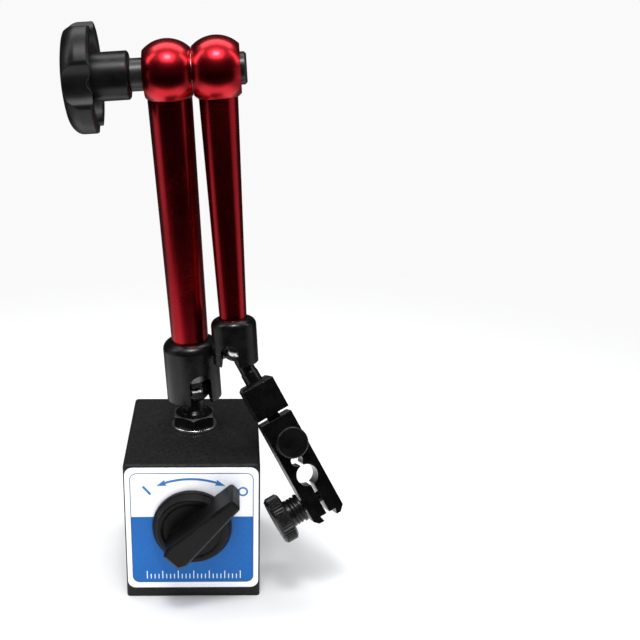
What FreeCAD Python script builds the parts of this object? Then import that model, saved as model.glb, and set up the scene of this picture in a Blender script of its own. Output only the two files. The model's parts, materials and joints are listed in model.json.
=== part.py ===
"""Magnetic base indicator stand with a central-lock articulated arm.

Frame: millimetres, +Z up, origin at the centre of the base's bottom face,
-Y is the front, the face with the rotary switch, +X is to its right.
The lower arm rises from the base to the elbow. The upper arm hangs from the
elbow beside it, and carries the indicator clamp on its ball.

Every driving size is a cell of the sheet "dims"; each piece is its own body
or boolean with the piece's name as its Label.
"""
import FreeCAD, Part
import Sketcher
import math
import os

Vector = FreeCAD.Vector
Rotation = FreeCAD.Rotation
Placement = FreeCAD.Placement

# ---------------------------------------------------------------- dimensions
DIMENSIONS = dict(
    # magnetic base
    base_width=50.0, base_depth=60.0, base_height=55.0, base_edge=1.3,
    spacer_width=2.4, rotor_bore=14.2, switch_height=30.7,
    plug_depth=4.0, bush_bore=5.05, label_width=48.8, label_height=50.0,
    label_low=4.0, label_thick=0.5, label_corner=3.0,
    pin_radius=1.5, pin_orbit=11.0,
    # rotor and switch knob
    rotor_radius=14.15, rotor_length=51.2, magnet_thick=12.0, flange_thick=3.0,
    journal_radius=5.0, spindle_radius=4.0, spindle_length=10.0,
    dial_radius=14.6, dial_thick=5.0, grip_width=10.0, grip_height=15.0,
    grip_nose=23.0, grip_tail=10.4, nose_width=4.6,
    grub_radius=1.5, grub_height=8.0, grub_length=5.0,
    # stud
    stud_y=4.0, stud_thread=5.0, stud_depth=8.5,
    washer_radius=8.7, washer_thick=1.3, hex_flats=14.8, hex_height=4.5, stud_neck=4.0,
    # clearances
    fit=0.1, fine_fit=0.05, rod_gap=0.35,
    # lower joint and arm; socket drop, top and slot arch are heights from the ball centre
    lower_ball=6.75, lower_ball_z=72.0, lower_ball_flat=5.4, lower_spigot=2.5,
    lower_socket=10.45, lower_socket_drop=5.0, lower_socket_top=18.9,
    lower_socket_bore=7.0, lower_socket_round=3.3, lower_mouth=7.3,
    lower_slot=8.6, lower_slot_arch=3.0, lower_pad_top=9.0, lower_rod=2.5,
    lower_arm=118.6, lower_tube_start=9.8, lower_tube_foot=6.95, lower_tube_top=7.95,
    lower_head=11.8,
    # upper joint and arm
    upper_ball=5.3, upper_ball_flat=4.5, upper_spigot=1.6, upper_neck=3.1,
    upper_socket=8.4, upper_socket_drop=5.9, upper_socket_top=11.4,
    upper_socket_bore=5.4, upper_socket_round=2.95, upper_mouth=7.35,
    upper_slot=6.8, upper_slot_arch=-0.8, upper_pad_top=7.0, upper_rod=2.0,
    upper_arm=100.6, upper_tube_start=7.8, upper_tube_foot=5.0, upper_tube_top=6.95,
    upper_head=11.95,
    # elbow
    head_flat=8.4, head_pitch=17.1, bolt_bore=4.05, bolt_radius=4.0,
    waist_radius=2.5, waist_half=0.7, waist_run=2.85, rod_tip=2.6,
    bolt_end=32.8, bolt_head=5.7, bolt_head_in=24.2, bolt_head_out=27.7,
    sleeve_radius=5.75, sleeve_end=13.3,
    washer_bore=4.2, elbow_washer=7.0, elbow_gap=0.05,
    # lock knob
    hub_radius=8.5, hub_end=13.35, rim_inner=24.9, recess_floor=28.0,
    recess_inner=9.6, recess_outer=16.0, knob_radius=20.0, knob_face=36.8,
    knob_crown=15.5, crown_rise=1.8, crown_radius=67.6,
    knob_corner=6.44, corner_rise=7.2, lobe_round=2.2,
    insert_radius=6.0, insert_end=32.3, knob_blind=34.3,
    scallop_radius=9.5, scallop_orbit=25.2,
    # indicator clamp
    bar_half=6.35, bar_thick=11.0, yoke_top=14.8, yoke_low=28.1,
    bar_top=30.0, bar_end=71.6, tongue_width=4.5, tongue_back=2.4,
    tongue_front=1.4, tongue_end=41.5, pocket_end=42.3, pocket_front=2.2,
    pocket_back=3.2, pivot_z=33.0, pivot_y=0.5, pivot_radius=1.25,
    stem_bore=4.0, stem_z=53.7, relief_radius=2.25, relief_z=47.2,
    relief_x=0.8, slit=1.2, dove_mouth=5.2, dove_floor=6.4, dove_depth=2.1,
    yoke_thread=2.5, yoke_thread_z=23.5,
    # fine-adjust screw and clamp screw
    fine_z=39.3, fine_radius=2.0, fine_head=5.8, fine_head_out=10.1,
    fine_neck=3.2, fine_neck_length=2.4,
    thumb_z=63.8, thumb_thread=2.0, thumb_hub=5.4, thumb_gap=0.6,
    thumb_hub_length=6.0, thumb_head=9.1, thumb_head_length=5.6, thumb_tip=5.8,
)

# Attitude of the moving parts, degrees
LOWER_LEAN = 3.58    # lower arm leans to the left
UPPER_SWING = 6.0    # upper arm's ball end swings to the front of the lower arm
KNOB_TURN = 45.0     # switch knob about its spindle
KNOB_TRAVEL = 90.0
# Clamp directions: its width and its thickness (front to back)
CLAMP_WIDTH = Vector(0.8692, 0.2739, 0.4117)
CLAMP_THICKNESS = Vector(-0.1158, 0.9222, -0.3690)


class Size:
    """A number that carries its spreadsheet expression."""

    def __init__(self, text, value):
        self.text = text
        self.value = float(value)

    def _join(self, sign, other, work):
        if not isinstance(other, Size):
            other = Size(repr(float(other)), other)
        text = "(%s %s %s)" % (self.text, sign, other.text)
        return Size(text, work(self.value, other.value))

    def __add__(self, other):
        return self._join("+", other, float.__add__)

    def __sub__(self, other):
        return self._join("-", other, float.__sub__)

    def __mul__(self, other):
        return self._join("*", other, float.__mul__)

    def __truediv__(self, other):
        return self._join("/", other, float.__truediv__)

    def __neg__(self):
        return Size("(0 - %s)" % self.text, -self.value)


class Dimensions:
    """The sheet's cells as attributes, each one a Size."""


doc = FreeCAD.newDocument("indicator_stand")
sheet = doc.addObject("Spreadsheet::Sheet", "dims")
dim = Dimensions()
for row, (alias, value) in enumerate(DIMENSIONS.items(), 1):
    sheet.set("A%d" % row, alias)
    sheet.set("B%d" % row, repr(value))
    sheet.setAlias("B%d" % row, alias)
    setattr(dim, alias, Size("dims." + alias, value))
doc.recompute()


# ------------------------------------------------------------------- helpers
def number(size):
    return size.value if isinstance(size, Size) else float(size)


def vector(*sizes):
    return Vector(*[number(size) for size in sizes])


def side_sizes(side, *names):
    """Sizes of the "lower" or the "upper" joint and arm."""
    return [getattr(dim, side + "_" + name) for name in names]


def bind(obj, prop, size):
    setattr(obj, prop, number(size))
    if isinstance(size, Size):
        obj.setExpression(prop, size.text)


def place(obj, base, turn):
    obj.Placement = Placement(vector(*base), turn or Rotation())
    for axis, size in zip("xyz", base):
        if isinstance(size, Size):
            obj.setExpression("Placement.Base." + axis, size.text)


def about_z(angle):
    return Rotation(Vector(0, 0, 1), angle)


TO_X = Rotation(Vector(0, 1, 0), 90)            # local Z onto +X
TO_MINUS_X = Rotation(Vector(0, 1, 0), -90)     # local Z onto -X
TO_Y = Rotation(Vector(1, 0, 0), -90)           # local Z onto +Y
TO_MINUS_Y = Rotation(Vector(1, 0, 0), 90)      # local Z onto -Y


def cylinder(name, radius, height, base=(0, 0, 0), turn=None):
    obj = doc.addObject("Part::Cylinder", name)
    bind(obj, "Radius", radius)
    bind(obj, "Height", height)
    place(obj, base, turn)
    return obj


def box(name, length, width, height, base):
    obj = doc.addObject("Part::Box", name)
    bind(obj, "Length", length)
    bind(obj, "Width", width)
    bind(obj, "Height", height)
    place(obj, base, None)
    return obj


def sphere(name, radius, base=(0, 0, 0)):
    obj = doc.addObject("Part::Sphere", name)
    bind(obj, "Radius", radius)
    place(obj, base, None)
    return obj


def fuse(name, *items):
    obj = doc.addObject("Part::MultiFuse", name)
    obj.Shapes = list(items)
    return obj


def cut(name, base, *tools):
    obj = doc.addObject("Part::Cut", name)
    obj.Base = base
    obj.Tool = tools[0] if len(tools) == 1 else fuse(name + "_tools", *tools)
    return obj


def common(name, base, tool):
    obj = doc.addObject("Part::Common", name)
    obj.Base = base
    obj.Tool = tool
    return obj


def add_arc(profile, start, end, radius, turn):
    """Add an arc from start to end; return (geometry, start point, end point)."""
    chord = end - start
    height = math.sqrt(max(radius ** 2 - (chord.Length / 2) ** 2, 0.0))
    chord.normalize()
    centre = (start + end) * 0.5 + Vector(-chord.y, chord.x, 0) * (height * turn)
    first = math.atan2(start.y - centre.y, start.x - centre.x)
    last = math.atan2(end.y - centre.y, end.x - centre.x)
    if turn < 0:
        first, last = last, first
    if last <= first:
        last += 2 * math.pi
    circle = Part.Circle(centre, Vector(0, 0, 1), radius)
    geometry = profile.addGeometry(Part.ArcOfCircle(circle, first, last), False)
    return (geometry, 1, 2) if turn > 0 else (geometry, 2, 1)


def sketch(body, plane_role, points, lift=0.0):
    """Closed profile. Each point is (x, y) for a line that arrives there, or
    (x, y, radius, turn) for an arc that arrives there; turn +1 is
    anticlockwise. Every Size in it is tied to the sheet."""
    profile = body.newObject("Sketcher::SketchObject", body.Name + "_sk")
    plane = next(item for item in body.Origin.OriginFeatures if item.Role == plane_role)
    profile.AttachmentSupport = [(plane, "")]
    profile.MapMode = "FlatFace"
    profile.AttachmentOffset = Placement(vector(0, 0, lift), Rotation())
    if isinstance(lift, Size):
        profile.setExpression("AttachmentOffset.Base.z", lift.text)

    def constrain(size, *terms):
        index = profile.addConstraint(Sketcher.Constraint(*terms, number(size)))
        if isinstance(size, Size):
            profile.setExpression("Constraints[%d]" % index, size.text)

    edges = []
    for i, point in enumerate(points):
        start = vector(*points[i - 1][:2], 0)
        end = vector(*point[:2], 0)
        if len(point) == 2:
            edges.append((profile.addGeometry(Part.LineSegment(start, end), False), 1, 2))
        else:
            edges.append(add_arc(profile, start, end, number(point[2]), point[3]))
    for i, (geometry, _, end) in enumerate(edges):
        following = edges[(i + 1) % len(edges)]
        profile.addConstraint(
            Sketcher.Constraint("Coincident", geometry, end, following[0], following[1]))
    for (geometry, _, end), point in zip(edges, points):
        for kind, size, axis in (("DistanceX", point[0], -2), ("DistanceY", point[1], -1)):
            if not isinstance(size, Size) and abs(size) < 1e-9:
                profile.addConstraint(
                    Sketcher.Constraint("PointOnObject", geometry, end, axis))
            else:
                constrain(size, kind, -1, 1, geometry, end)
        if len(point) > 2:
            constrain(point[2], "Radius", geometry)
    return profile


def revolve(name, points):
    """Body turned about Z from a profile of (radius, height) points."""
    body = doc.addObject("PartDesign::Body", name)
    profile = sketch(body, "XZ_Plane", points)
    feature = body.newObject("PartDesign::Revolution", name + "_rev")
    feature.Profile = profile
    feature.ReferenceAxis = (profile, ["V_Axis"])
    feature.Angle = 360.0
    body.Tip = feature
    return body


def pad(name, points, length, lift=0.0):
    """Body raised along Z from an outline of (x, y) points."""
    body = doc.addObject("PartDesign::Body", name)
    profile = sketch(body, "XY_Plane", points, lift)
    feature = body.newObject("PartDesign::Pad", name + "_pad")
    feature.Profile = profile
    bind(feature, "Length", length)
    body.Tip = feature
    return body


def edges_at(shape, height):
    """Numbers of the edges that lie flat at one height."""
    boxes = enumerate((edge.BoundBox for edge in shape.Edges), 1)
    return [i for i, bounds in boxes
            if abs(bounds.ZMin - height) < 1e-6 and bounds.ZLength < 1e-6]


def chamfer_top(body, height, size):
    doc.recompute()
    padded = body.Tip
    edges = ["Edge%d" % i for i in edges_at(padded.Shape, number(height))]
    feature = body.newObject("PartDesign::Chamfer", body.Name + "_chamfer")
    feature.Base = (padded, edges)
    feature.Size = size
    body.Tip = feature


def hexagon_points(corner_radius, first_angle):
    angles = [math.radians(60 * k + first_angle) for k in range(6)]
    return [(corner_radius * round(math.cos(angle), 9),
             corner_radius * round(math.sin(angle), 9)) for angle in angles]


PIECES = []


def piece(label, obj, placement=None):
    """Register a finished piece, in its place on the stand."""
    obj.Label = label
    if placement is not None:
        obj.Placement = placement
    PIECES.append((label, obj))


# -------------------------------------------------------------------- frames
def clamp_turn():
    """Clamp axes: X its width, Y its thickness, Z along it towards the ball."""
    across = Vector(CLAMP_WIDTH).normalize()
    back = CLAMP_THICKNESS - across * CLAMP_THICKNESS.dot(across)
    back.normalize()
    along = across.cross(back)
    return Rotation(FreeCAD.Matrix(across.x, back.x, along.x, 0,
                                   across.y, back.y, along.y, 0,
                                   across.z, back.z, along.z, 0,
                                   0, 0, 0, 1))


# Switch: local Z points out of the front, zero on the label plate's face.
SWITCH = Placement(
    vector(0, -dim.base_depth / 2 - dim.label_thick, dim.switch_height), TO_MINUS_Y)
KNOB = Placement(SWITCH.Base, TO_MINUS_Y.multiply(about_z(KNOB_TURN)))
# Stud: zero at the lower ball's centre, upright.
STUD = Placement(vector(0, dim.stud_y, dim.lower_ball_z), Rotation())
# Arms: zero at the ball centre, local Z along the arm to its elbow head.
LOWER = Placement(STUD.Base, Rotation(Vector(0, 1, 0), -LOWER_LEAN))
UPPER_TURN = LOWER.Rotation.multiply(Rotation(Vector(1, 0, 0), -UPPER_SWING))
UPPER = Placement(
    LOWER.multVec(vector(dim.head_pitch, 0, dim.lower_arm))
    - UPPER_TURN.multVec(vector(0, 0, dim.upper_arm)), UPPER_TURN)
# Elbow: local Z is the bolt axis from the lock knob to the bolt head, zero in
# the middle of the lower arm's head.
ELBOW = Placement(
    LOWER.multVec(vector(0, 0, dim.lower_arm)), LOWER.Rotation.multiply(TO_X))
# Clamp: zero at the upper ball's centre, length runs to -Z, front is -Y.
CLAMP = Placement(UPPER.Base, clamp_turn())

# Heights in the switch frame
BUSH_BACK = -dim.label_thick - dim.plug_depth
ROTOR_FRONT = BUSH_BACK - 0.4


# ------------------------------------------------------------- magnetic base
def block_pieces():
    """Two steel pole halves with a brass spacer between them, all sharing one
    rounded outline, one rotor bore and one threaded stud hole."""
    width, depth, height = dim.base_width, dim.base_depth, dim.base_height
    block = box("block", width, depth, height, (-width / 2, -depth / 2, 0))
    doc.recompute()
    vertical = [i for i, edge in enumerate(block.Shape.Edges, 1) if edge.BoundBox.ZLength > 1]
    radius = dim.base_edge.value
    rounded = doc.addObject("Part::Fillet", "rounded_block")
    rounded.Base = block
    rounded.Edges = [(i, radius, radius)
                     for i in sorted(vertical + edges_at(block.Shape, height.value))]
    bored = cut(
        "bored_block", rounded,
        cylinder("rotor_bore_tool", dim.rotor_bore, depth + 2,
                 (0, -depth / 2 - 1, dim.switch_height), TO_Y),
        cylinder("stud_hole_tool", dim.stud_thread, dim.stud_depth + 1,
                 (0, dim.stud_y, height - dim.stud_depth)))
    spacer = dim.spacer_width
    pole = width / 2 - spacer / 2 + 1
    # label, then the zone's width, height, left side and bottom
    zones = (
        ("pole_block_left", pole, height + 2, -width / 2 - 1, -1),
        ("pole_block_right", pole, height + 2, spacer / 2, -1),
        ("upper_brass_spacer", spacer, height, -spacer / 2, dim.switch_height),
        ("lower_brass_spacer", spacer, dim.switch_height + 1, -spacer / 2, -1),
    )
    for label, zone_width, zone_height, left, bottom in zones:
        zone = box(label + "_zone", zone_width, depth + 2, zone_height,
                   (left, -depth / 2 - 1, bottom))
        piece(label, common(label + "_part", bored, zone))


def label_plate():
    """Corner-rounded sheet with a hole for the spindle and one for the pin."""
    half, corner = dim.label_width / 2, dim.label_corner
    low = dim.label_low - dim.switch_height
    high = low + dim.label_height
    plate = pad("plate", [
        (half - corner, low), (half, low + corner, corner, 1),
        (half, high - corner), (half - corner, high, corner, 1),
        (corner - half, high), (-half, high - corner, corner, 1),
        (-half, low + corner), (corner - half, low, corner, 1)],
        dim.label_thick, -dim.label_thick)
    piece("label_plate", cut(
        "plate_cut", plate,
        cylinder("plate_hole", dim.journal_radius + 1, 4, (0, 0, -2)),
        cylinder("plate_pin_hole", dim.pin_radius + dim.fit, 4, (0, -dim.pin_orbit, -2))),
        SWITCH)


def bore_closures():
    """Front bush and rear plug of the rotor bore."""
    piece("front_bush", cut(
        "bush", cylinder("bush_disc", dim.rotor_bore, dim.plug_depth, (0, 0, BUSH_BACK)),
        cylinder("bush_hole", dim.bush_bore, 10, (0, 0, -8)),
        cylinder("bush_pin_hole", dim.pin_radius, 10, (0, -dim.pin_orbit, -8))),
        SWITCH)
    piece("rear_plug", cylinder("rear_plug_disc", dim.rotor_bore, dim.plug_depth),
          Placement(vector(0, dim.base_depth / 2, dim.switch_height), TO_MINUS_Y))


def stop_pin():
    """Stands in the bush and runs in an arc groove behind the knob."""
    radius, tip, bevel = dim.pin_radius, 2.0, 0.3
    piece("stop_pin", revolve("pin_body", [
        (0, BUSH_BACK), (radius, BUSH_BACK), (radius, tip - bevel), (radius - bevel, tip),
        (0, tip)]),
        Placement(SWITCH.multVec(vector(0, -dim.pin_orbit, 0)), TO_MINUS_Y))


# ------------------------------------------------------- rotor and its knob
def rotor_spindle():
    flange_back = ROTOR_FRONT - dim.flange_thick
    flange = dim.rotor_radius - 0.6
    journal, spindle, end, bevel = dim.journal_radius, dim.spindle_radius, dim.spindle_length, 0.5
    piece("rotor_spindle", revolve("spindle", [
        (0, flange_back), (flange, flange_back), (flange, ROTOR_FRONT),
        (journal, ROTOR_FRONT), (journal, 0), (spindle, 0),
        (spindle, end - bevel), (spindle - bevel, end), (0, end)]), SWITCH)


def rotor_core():
    """Round core sliced into a magnet with a pole shoe above and below."""
    length = dim.rotor_length - dim.flange_thick
    back = ROTOR_FRONT - dim.rotor_length
    thick, shoe, width = dim.magnet_thick, 20, 40
    # label, then the slice's thickness and underside
    slices = (
        ("rotor_magnet", thick, -thick / 2),
        ("rotor_pole_shoe_upper", shoe, thick / 2),
        ("rotor_pole_shoe_lower", shoe, -thick / 2 - shoe),
    )
    for label, height, low in slices:
        core = cylinder(label + "_core", dim.rotor_radius, length, (0, 0, back))
        zone = box(label + "_zone", width, height, length + 4, (-width / 2, low, back - 2))
        piece(label, common(label + "_part", core, zone), SWITCH)


def dial():
    """Round flange with a stepped, rounded rim and a shallow dish on top."""
    radius, top = dim.dial_radius, dim.dial_thick
    back, bevel, step, step_round, rim_round, dish = 0.1, 0.4, 1.9, 0.5, 0.9, 0.7
    return revolve("dial", [
        (0, back), (radius - bevel, back), (radius, back + bevel), (radius, step),
        (radius - step_round, step + step_round, step_round, 1),
        (radius - 1.4, top - rim_round), (radius - 1.4 - rim_round, top, rim_round, 1),
        (radius - 3.0, top), (radius - 4.4, top - dish), (0, top - dish)])


def grip():
    """Raised straight grip whose nose is a pointer towards local +X."""
    half, nose, tail, nose_half = (
        dim.grip_width / 2, dim.grip_nose, dim.grip_tail, dim.nose_width / 2)
    foot, nose_bevel, tail_run, tail_step = 1.6, 0.7, 3.2, 1.5
    body = pad("grip", [
        (nose - nose_bevel, -nose_half - 0.1), (nose, -nose_half + 0.6),
        (nose, nose_half - 0.6), (nose - nose_bevel, nose_half + 0.1),
        (-tail + tail_run, half), (-tail, half - tail_step),
        (-tail, -half + tail_step), (-tail + tail_run, -half)],
        dim.grip_height - foot, foot)
    chamfer_top(body, dim.grip_height, 0.9)
    return body


def pin_groove():
    """Arc groove for the stop pin, a quarter turn long plus end margins."""
    side_gap, end_margin, depth = 0.2, 8.6, 2.4
    pin_angle = 270 - KNOB_TURN
    outer = cylinder("groove_outer", dim.pin_orbit + dim.pin_radius + side_gap, depth,
                     turn=about_z(pin_angle - KNOB_TRAVEL - end_margin))
    outer.Angle = KNOB_TRAVEL + 2 * end_margin
    inner = cylinder("groove_inner", dim.pin_orbit - dim.pin_radius - side_gap, 4, (0, 0, -1))
    return cut("groove", outer, inner)


def switch_knob():
    piece("switch_knob", cut(
        "knob_cut", fuse("knob_solid", dial(), grip()),
        cylinder("knob_bore", dim.spindle_radius, dim.spindle_length + 0.3),
        pin_groove(),
        cylinder("grub_hole", dim.grub_radius, dim.grip_tail,
                 (0, 0, dim.grub_height), TO_MINUS_X)),
        KNOB)


def knob_grub_screw():
    """Bears on the spindle; hexagon socket in its outer end."""
    key_corner, key_length, key_depth = 0.9, 3.0, 1.0
    key = pad("grub_hex_tool", hexagon_points(key_corner, 0), key_length)
    key_end = -dim.spindle_radius - dim.grub_length + key_depth - key_length
    key.Placement = Placement(vector(key_end, 0, dim.grub_height), TO_X)
    body = cylinder("grub_body", dim.grub_radius, dim.grub_length,
                    (-dim.spindle_radius, 0, dim.grub_height), TO_MINUS_X)
    piece("knob_grub_screw", cut("grub", body, key), KNOB)


# ---------------------------------------------------------------------- stud
def stud_washer():
    piece("stud_washer", cut(
        "stud_washer_cut", cylinder("washer_disc", dim.washer_radius, dim.washer_thick),
        cylinder("washer_hole", dim.stud_thread + dim.fine_fit, 4, (0, 0, -1))),
        Placement(vector(0, dim.stud_y, dim.base_height), Rotation()))


def base_stud():
    """Threaded shank, hexagon with a corner to the front, neck and ball spigot."""
    base_top = dim.base_height - dim.lower_ball_z
    hex_low = base_top + dim.washer_thick
    hex_top = hex_low + dim.hex_height
    corner = dim.hex_flats / math.sqrt(3)
    prism = pad("hexagon", hexagon_points(corner, 30), dim.hex_height, hex_low)
    # Turned envelope that bevels the hexagon's upper corners
    envelope = revolve("hexcone", [
        (0, hex_low - 1), (corner + 1, hex_low - 1), (corner + 1, hex_low),
        (corner + 1, hex_top - 1.2), (dim.hex_flats / 2 - 0.3, hex_top), (0, hex_top)])
    foot = base_top - dim.stud_depth
    thread, neck, spigot, bevel = dim.stud_thread, dim.stud_neck, dim.lower_spigot, 0.6
    collar = neck + 1.2
    seat = -dim.lower_ball_flat - dim.fine_fit
    shank = revolve("stud_shank", [
        (0, foot), (thread - bevel, foot), (thread, foot + bevel), (thread, hex_low + 1),
        (collar, hex_low + 1), (collar, hex_top + 0.6), (neck, hex_top + 1.6),
        (neck, seat), (spigot, seat), (spigot, 0), (0, 0)])
    piece("base_stud", fuse("stud_all", common("hex_part", prism, envelope), shank), STUD)


# --------------------------------------------- joints and arms, both sides
def joint_ball(side, placement):
    """Ball cut flat underneath and bored for the spigot."""
    radius, flat, spigot = side_sizes(side, "ball", "ball_flat", "spigot")
    name = side + "_ball"
    piece(name, cut(
        name + "_cut", sphere(name + "_solid", radius),
        box(name + "_under", 20, 20, 10, (-10, -10, -flat - 10)),
        cylinder(name + "_bore", spigot + dim.fine_fit, radius, (0, 0, -radius + 0.2))),
        placement)


def socket(side, placement, mouth_angle, slot_angle):
    """Turned shell with a spherical seat, a flared mouth and one side slot
    with an arched end. Angles in degrees: mouth_angle from -Z to the seat's
    lower edge, slot_angle about Z from +X."""
    radius, drop, top, bore, top_round, mouth, ball, slot, arch_height = side_sizes(
        side, "socket", "socket_drop", "socket_top", "socket_bore", "socket_round",
        "mouth", "ball", "slot", "slot_arch")
    name, bevel = side + "_socket", 0.6
    seat = ball + dim.fine_fit
    angle = math.radians(mouth_angle)
    shell = revolve(name + "_shell", [
        (mouth, -drop), (radius - bevel, -drop), (radius, -drop + bevel),
        (radius, top - top_round), (radius - top_round, top, top_round, 1),
        (bore, top), (bore, 0), (seat, 0),
        (seat * math.sin(angle), -(seat * math.cos(angle)), seat, -1)])
    turn = about_z(slot_angle)
    corner = turn.multVec(vector(0, -slot / 2, 0))
    slab = box(name + "_slot", radius + 2, slot, drop + arch_height + 1, (0, 0, 0))
    place(slab, (corner.x, corner.y, -drop - 1), turn)
    arch = cylinder(name + "_arch", slot / 2, radius + 2, (0, 0, arch_height),
                    turn.multiply(TO_X))
    piece(name, cut(name + "_cut", shell, slab, arch), placement)


def pressure_pad(side, placement, skirt):
    """Plug with a hollow spherical seat; skirt is the height of its lower rim."""
    ball, bore, top = side_sizes(side, "ball", "socket_bore", "pad_top")
    seat, radius, bevel = ball + dim.fine_fit, bore - dim.fit, 0.5
    seat_edge = math.sqrt(seat.value ** 2 - skirt ** 2)
    piece(side + "_pressure_pad", revolve(side + "_pad_body", [
        (0, seat), (seat_edge, skirt, seat, -1), (radius, skirt), (radius, top - bevel),
        (radius - bevel, top), (0, top)]), placement)


def push_rod(side, placement):
    """Rod from the pressure pad to the bolt's waist, with a conical tip."""
    radius, pad_top, arm_length = side_sizes(side, "rod", "pad_top", "arm")
    low, high = pad_top + dim.rod_gap, arm_length - dim.rod_tip
    bevel, tip = 0.4, 0.5
    piece(side + "_push_rod", revolve(side + "_rod_body", [
        (0, low), (radius - bevel, low), (radius, low + bevel),
        (radius, high - (radius - tip)), (tip, high), (0, high)]), placement)


def arm_tube(side, placement, shank, *extra_tools):
    """Tapered tube with a spherical head cut flat on both sides."""
    length, foot, top, start, head, rod, socket_top = side_sizes(
        side, "arm", "tube_foot", "tube_top", "tube_start", "head", "rod", "socket_top")
    name, bevel = side + "_arm", 0.5
    shank_top = socket_top - 1
    tube_end = length - math.sqrt(head.value ** 2 - top.value ** 2)
    tube = revolve(name + "_body", [
        (0, start), (shank - bevel, start), (shank, start + bevel), (shank, shank_top),
        (foot, shank_top + 0.3), (top, tube_end), (top, tube_end + 1.5), (0, tube_end + 1.5)])
    solid = fuse(name + "_solid", tube, sphere(name + "_sphere", head, (0, 0, length)))
    reach = head + 2
    flats = [box(name + suffix, 10, reach * 2, reach * 2, (x, -reach, length - reach))
             for suffix, x in (("_flat_left", -dim.head_flat - 10),
                               ("_flat_right", dim.head_flat))]
    piece(name + "_tube", cut(
        name + "_cut", solid, *flats,
        cylinder(name + "_cross", dim.bolt_bore, 40, (-20, 0, length), TO_X),
        cylinder(name + "_rod_bore", rod + dim.fit, length - start + 1, (0, 0, start - 1)),
        *extra_tools), placement)


def lower_arm():
    joint_ball("lower", STUD)
    socket("lower", LOWER, mouth_angle=62.4, slot_angle=-71)
    pressure_pad("lower", LOWER, skirt=3.4)
    arm_tube("lower", LOWER, dim.lower_socket_bore - dim.fine_fit)
    push_rod("lower", LOWER)


def upper_arm():
    head_seat = cylinder(
        "bolt_head_seat", dim.bolt_head + dim.fit, 10,
        (dim.bolt_head_in - dim.head_pitch - 0.9, 0, dim.upper_arm), TO_X)
    arm_tube("upper", UPPER, dim.upper_socket_bore, head_seat)
    socket("upper", UPPER, mouth_angle=67.5, slot_angle=-106)
    push_rod("upper", UPPER)
    pressure_pad("upper", UPPER, skirt=2.9)
    joint_ball("upper", CLAMP)


# --------------------------------------------------------------------- elbow
def draw_bolt():
    """Bolt through both heads, with a waist in the middle of each head."""
    radius, head, end, bevel = dim.bolt_radius, dim.bolt_head, dim.bolt_end, 0.8
    head_in, head_out = dim.bolt_head_in, dim.bolt_head_out
    waist = (
        (radius, -dim.waist_run), (dim.waist_radius, -dim.waist_half),
        (dim.waist_radius, dim.waist_half), (radius, dim.waist_run))
    piece("draw_bolt", revolve(
        "bolt_body",
        [(0, -end), (radius - bevel, -end), (radius, -end + bevel)]
        + [(x, z + centre) for centre in (0, dim.head_pitch) for x, z in waist]
        + [(radius, head_in), (head, head_in), (head, head_out - bevel),
           (head - bevel, head_out), (0, head_out)]), ELBOW)


def pressure_sleeve():
    bore, radius = dim.bolt_bore, dim.sleeve_radius
    end, head_side = -dim.sleeve_end, -dim.head_flat
    end_bevel, head_bevel = 0.5, 0.3
    piece("pressure_sleeve", revolve("sleeve_body", [
        (bore, end), (radius - end_bevel, end), (radius, end + end_bevel),
        (radius, head_side - head_bevel), (radius - head_bevel, head_side),
        (bore, head_side)]), ELBOW)


def elbow_washer():
    """Fills the gap between the two arm heads."""
    low = dim.head_flat + dim.elbow_gap
    high = dim.head_pitch - dim.head_flat - dim.elbow_gap
    piece("elbow_washer", revolve("elbow_washer_body", [
        (dim.washer_bore, low), (dim.elbow_washer, low),
        (dim.elbow_washer, high), (dim.washer_bore, high)]), ELBOW)


def lobed_prism(radius, scallop, orbit, corner, count, bottom, top):
    """Prism whose outline is a circle with round scallops; every corner
    between lobe and scallop is rounded."""
    def polar(distance, angle):
        return Vector(distance * math.cos(angle), distance * math.sin(angle), bottom)

    def arc(start, middle, end):
        return Part.Arc(start, middle, end).toShape()

    # Angle between a scallop's centre and its neighbouring corner centres
    inner = radius - corner
    offset = math.acos((orbit ** 2 + inner ** 2 - (scallop + corner) ** 2)
                       / (2 * orbit * inner))
    step = 2 * math.pi / count
    edges = []
    for k in range(count):
        angle = k * step
        scallop_centre = polar(orbit, angle)
        scallop_ends = []
        for side in (-1, 1):
            centre = polar(inner, angle + side * offset)
            on_rim = polar(radius, angle + side * offset)
            on_scallop = scallop_centre + (centre - scallop_centre).normalize() * scallop
            outward = (on_rim - centre).normalize() + (on_scallop - centre).normalize()
            edges.append(arc(on_rim, centre + outward.normalize() * corner, on_scallop))
            scallop_ends.append(on_scallop)
        edges.append(arc(scallop_ends[0], polar(orbit - scallop, angle), scallop_ends[1]))
        edges.append(arc(polar(radius, angle + offset), polar(radius, angle + step / 2),
                         polar(radius, angle + step - offset)))
    wire = Part.Wire(Part.__sortEdges__(edges))
    return Part.Face(wire).extrude(Vector(0, 0, top - bottom))


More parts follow.
